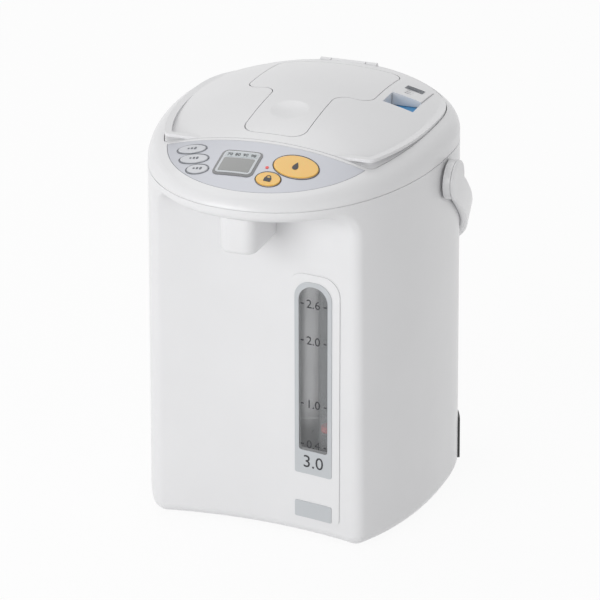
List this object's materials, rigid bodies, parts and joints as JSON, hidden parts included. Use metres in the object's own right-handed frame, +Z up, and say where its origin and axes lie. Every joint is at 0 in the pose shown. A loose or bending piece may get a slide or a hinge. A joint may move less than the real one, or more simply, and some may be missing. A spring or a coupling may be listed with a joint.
{
  "type": "thermo pot",
  "caption": "Electric thermo pot with a push-plate air pump, control panel with display, water gauge with float, hinged lid, folding carrying handle and a swivel base.",
  "frame": {"origin": "centre of the bounding box at the underside of the rubber feet", "axes": "+Z up, front with the spout and panel towards -Y, +X to the right of a person who faces the front"},
  "size_m": [0.2084, 0.2428, 0.276],
  "materials": {
    "white_shell": "smooth white gloss",
    "panel_silver": "satin silver grey",
    "dark_plastic": "satin black",
    "base_grey": "fine matt grey",
    "steel": "brushed",
    "zinc_steel": "bright plated",
    "rubber_black": "matt",
    "silicone": "translucent milky",
    "display_glass": "dark glossy window",
    "gauge_clear": "clear",
    "tube_clear": "clear",
    "label_grey": "satin grey film",
    "button_amber": "translucent amber",
    "button_white": "white",
    "float_red": "bright red",
    "blue_label": "blue film",
    "board_green": "coated circuit board",
    "heater_metal": "mat metal",
    "motor_can": "drawn can",
    "brass_pin": "bright"
  },
  "bodies": {
    "stand": {"swivel_base": "base_grey", "rubber_feet": "rubber_black", "swivel_ring": "base_grey"},
    "pot": {"body_shell": "white_shell", "bottom_plate": "base_grey", "base_screws": "zinc_steel", "power_inlet": "dark_plastic", "inlet_pins": "brass_pin", "power_board": "board_green", "vessel_stand": "base_grey", "inner_container": "steel", "heater_band": "heater_metal", "thermistor": "zinc_steel", "pump_motor": "motor_can", "pump_housing": "dark_plastic", "suction_hose": "silicone", "outlet_hose": "silicone", "sight_tube": "tube_clear", "riser_hose": "silicone", "gauge_frame": "white_shell", "gauge_plate": "label_grey", "gauge_lens": "gauge_clear", "spout_cover": "white_shell", "pour_nozzle": "steel", "shoulder_ring": "white_shell", "control_panel": "panel_silver", "control_board": "board_green", "lcd_window": "display_glass", "lcd_module": "dark_plastic", "hinge_pin": "zinc_steel", "handle_hub_left": "white_shell", "handle_hub_right": "white_shell"},
    "lid": {"lid_outer": "white_shell", "lid_base": "white_shell", "lid_inner_cover": "steel", "lid_gasket": "silicone", "steam_valve": "base_grey", "slider_label": "blue_label"},
    "latch": {"lid_latch": "base_grey"},
    "plate": {"push_plate": "white_shell", "air_bellows": "silicone", "pump_spring": "steel"},
    "slider": {"lock_slider": "white_shell"},
    "handle": {"carry_handle": "white_shell"},
    "float": {"gauge_float": "float_red"},
    "rotor": {"impeller": "base_grey"},
    "pour_key": {"pour_button": "button_amber"},
    "lock_key": {"lock_button": "button_amber"},
    "timer_key": {"timer_button": "button_white"},
    "reboil_key": {"reboil_button": "button_white"},
    "select_key": {"select_button": "button_white"}
  },
  "joints": [
    {"name": "swivel", "type": "hinge", "parent": "stand", "child": "pot", "pos_m": [0, 0.0073, 0.0042], "axis": [0, 0, 1], "continuous": true},
    {"name": "lid_hinge", "type": "hinge", "parent": "pot", "child": "lid", "pos_m": [0, 0.0903, 0.2676], "axis": [-1, 0, 0], "range_deg": [0, 85]},
    {"name": "latch_slide", "type": "slide", "parent": "lid", "child": "latch", "axis": [0, 1, 0], "range_m": [0, 0.003], "stiffness_N_per_m": 300, "springref_m": -0.002},
    {"name": "plate_press", "type": "slide", "parent": "lid", "child": "plate", "axis": [0, 0, -1], "range_m": [0, 0.01], "stiffness_N_per_m": 400, "springref_m": -0.005, "deforming": ["air_bellows", "pump_spring"]},
    {"name": "lock_slide", "type": "slide", "parent": "lid", "child": "slider", "axis": [0, -1, 0], "range_m": [0, 0.018]},
    {"name": "handle_pivot", "type": "hinge", "parent": "pot", "child": "handle", "pos_m": [0, 0.0083, 0.228], "axis": [1, 0, 0], "range_deg": [0, 129]},
    {"name": "float_rise", "type": "slide", "parent": "pot", "child": "float", "axis": [0, 0, 1], "range_m": [0, 0.1]},
    {"name": "impeller_spin", "type": "hinge", "parent": "pot", "child": "rotor", "pos_m": [0.042, -0.0377, 0.025], "axis": [0, 0, 1], "continuous": true},
    {"name": "pour_press", "type": "slide", "parent": "pot", "child": "pour_key", "axis": [-0.1092, 0.2805, -0.9536], "range_m": [0, 0.0008], "stiffness_N_per_m": 600, "springref_m": -0.0008},
    {"name": "lock_press", "type": "slide", "parent": "pot", "child": "lock_key", "axis": [-0.0591, 0.3248, -0.9439], "range_m": [0, 0.0008], "stiffness_N_per_m": 600, "springref_m": -0.0008},
    {"name": "timer_press", "type": "slide", "parent": "pot", "child": "timer_key", "axis": [0.182, 0.2573, -0.9491], "range_m": [0, 0.0008], "stiffness_N_per_m": 600, "springref_m": -0.0008},
    {"name": "reboil_press", "type": "slide", "parent": "pot", "child": "reboil_key", "axis": [0.1581, 0.2861, -0.9451], "range_m": [0, 0.0008], "stiffness_N_per_m": 600, "springref_m": -0.0008},
    {"name": "select_press", "type": "slide", "parent": "pot", "child": "select_key", "axis": [0.1313, 0.3146, -0.9401], "range_m": [0, 0.0008], "stiffness_N_per_m": 600, "springref_m": -0.0008}
  ]
}
